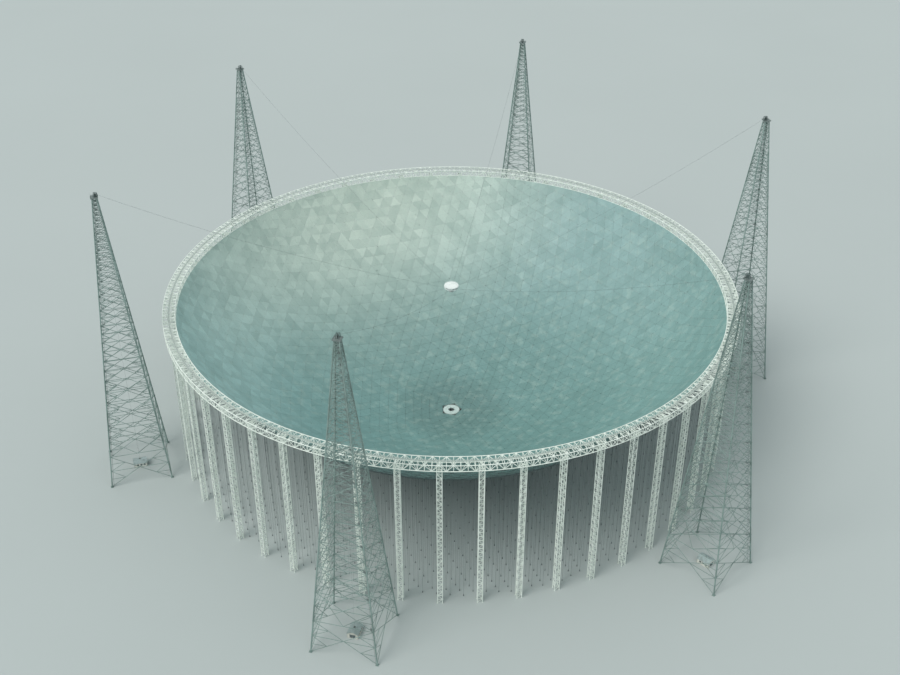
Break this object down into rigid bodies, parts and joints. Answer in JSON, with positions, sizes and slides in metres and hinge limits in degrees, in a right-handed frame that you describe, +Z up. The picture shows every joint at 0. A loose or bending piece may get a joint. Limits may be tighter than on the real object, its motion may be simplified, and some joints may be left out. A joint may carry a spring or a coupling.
{
  "type": "1:20 scale model of a fixed spherical radio telescope dish",
  "caption": "Fixed spherical reflector bowl in a ring truss on lattice columns, with cable towers around it that hold a feed cabin over its middle.",
  "frame": {"origin": "on the floor, under the lowest point of the bowl, in the middle of the part", "axes": "+Z up along the bowl's axis; -Y is the front, where tower_1 stands; +X is to the right"},
  "size_m": [29.7374, 32.75, 13.9117],
  "materials": {
    "panels": "perforated sheet, matt, slightly weathered",
    "ring_steel": "matt off-white paint",
    "tower_steel": "matt pale grey paint",
    "head_steel": "matt grey paint",
    "cable": "stranded galvanised wire",
    "cabin_white": "satin white paint",
    "cabin_grey": "satin pale grey paint",
    "house_white": "matt white cladding"
  },
  "bodies": {
    "root": {"reflector_inner_1": "panels", "reflector_inner_2": "panels", "reflector_inner_3": "panels", "reflector_inner_4": "panels", "reflector_inner_5": "panels", "reflector_middle_1": "panels", "reflector_middle_2": "panels", "reflector_middle_3": "panels", "reflector_middle_4": "panels", "reflector_middle_5": "panels", "reflector_outer_1": "panels", "reflector_outer_2": "panels", "reflector_outer_3": "panels", "reflector_outer_4": "panels", "reflector_outer_5": "panels", "reflector_outer_6": "panels", "reflector_outer_7": "panels", "reflector_outer_8": "panels", "reflector_outer_9": "panels", "reflector_outer_10": "panels", "ring_sector_1": "ring_steel", "ring_sector_2": "ring_steel", "ring_sector_3": "ring_steel", "ring_sector_4": "ring_steel", "ring_sector_5": "ring_steel", "ring_sector_6": "ring_steel", "ring_sector_7": "ring_steel", "ring_sector_8": "ring_steel", "ring_sector_9": "ring_steel", "ring_sector_10": "ring_steel", "tower_1": "tower_steel", "tower_2": "tower_steel", "tower_3": "tower_steel", "tower_4": "tower_steel", "tower_5": "tower_steel", "tower_6": "tower_steel", "tower_head_1": "head_steel", "tower_head_2": "head_steel", "tower_head_3": "head_steel", "tower_head_4": "head_steel", "tower_head_5": "head_steel", "tower_head_6": "head_steel", "suspension_cable_1": "cable", "suspension_cable_2": "cable", "suspension_cable_3": "cable", "suspension_cable_4": "cable", "suspension_cable_5": "cable", "suspension_cable_6": "cable", "cabin_body": "cabin_grey", "cabin_roof": "cabin_white", "receiver_platform": "cabin_white", "docking_platform": "cabin_white", "winch_house_1": "house_white", "winch_house_2": "house_white", "winch_house_3": "house_white", "winch_house_4": "house_white", "winch_house_5": "house_white", "winch_house_6": "house_white"}
  },
  "joints": []
}
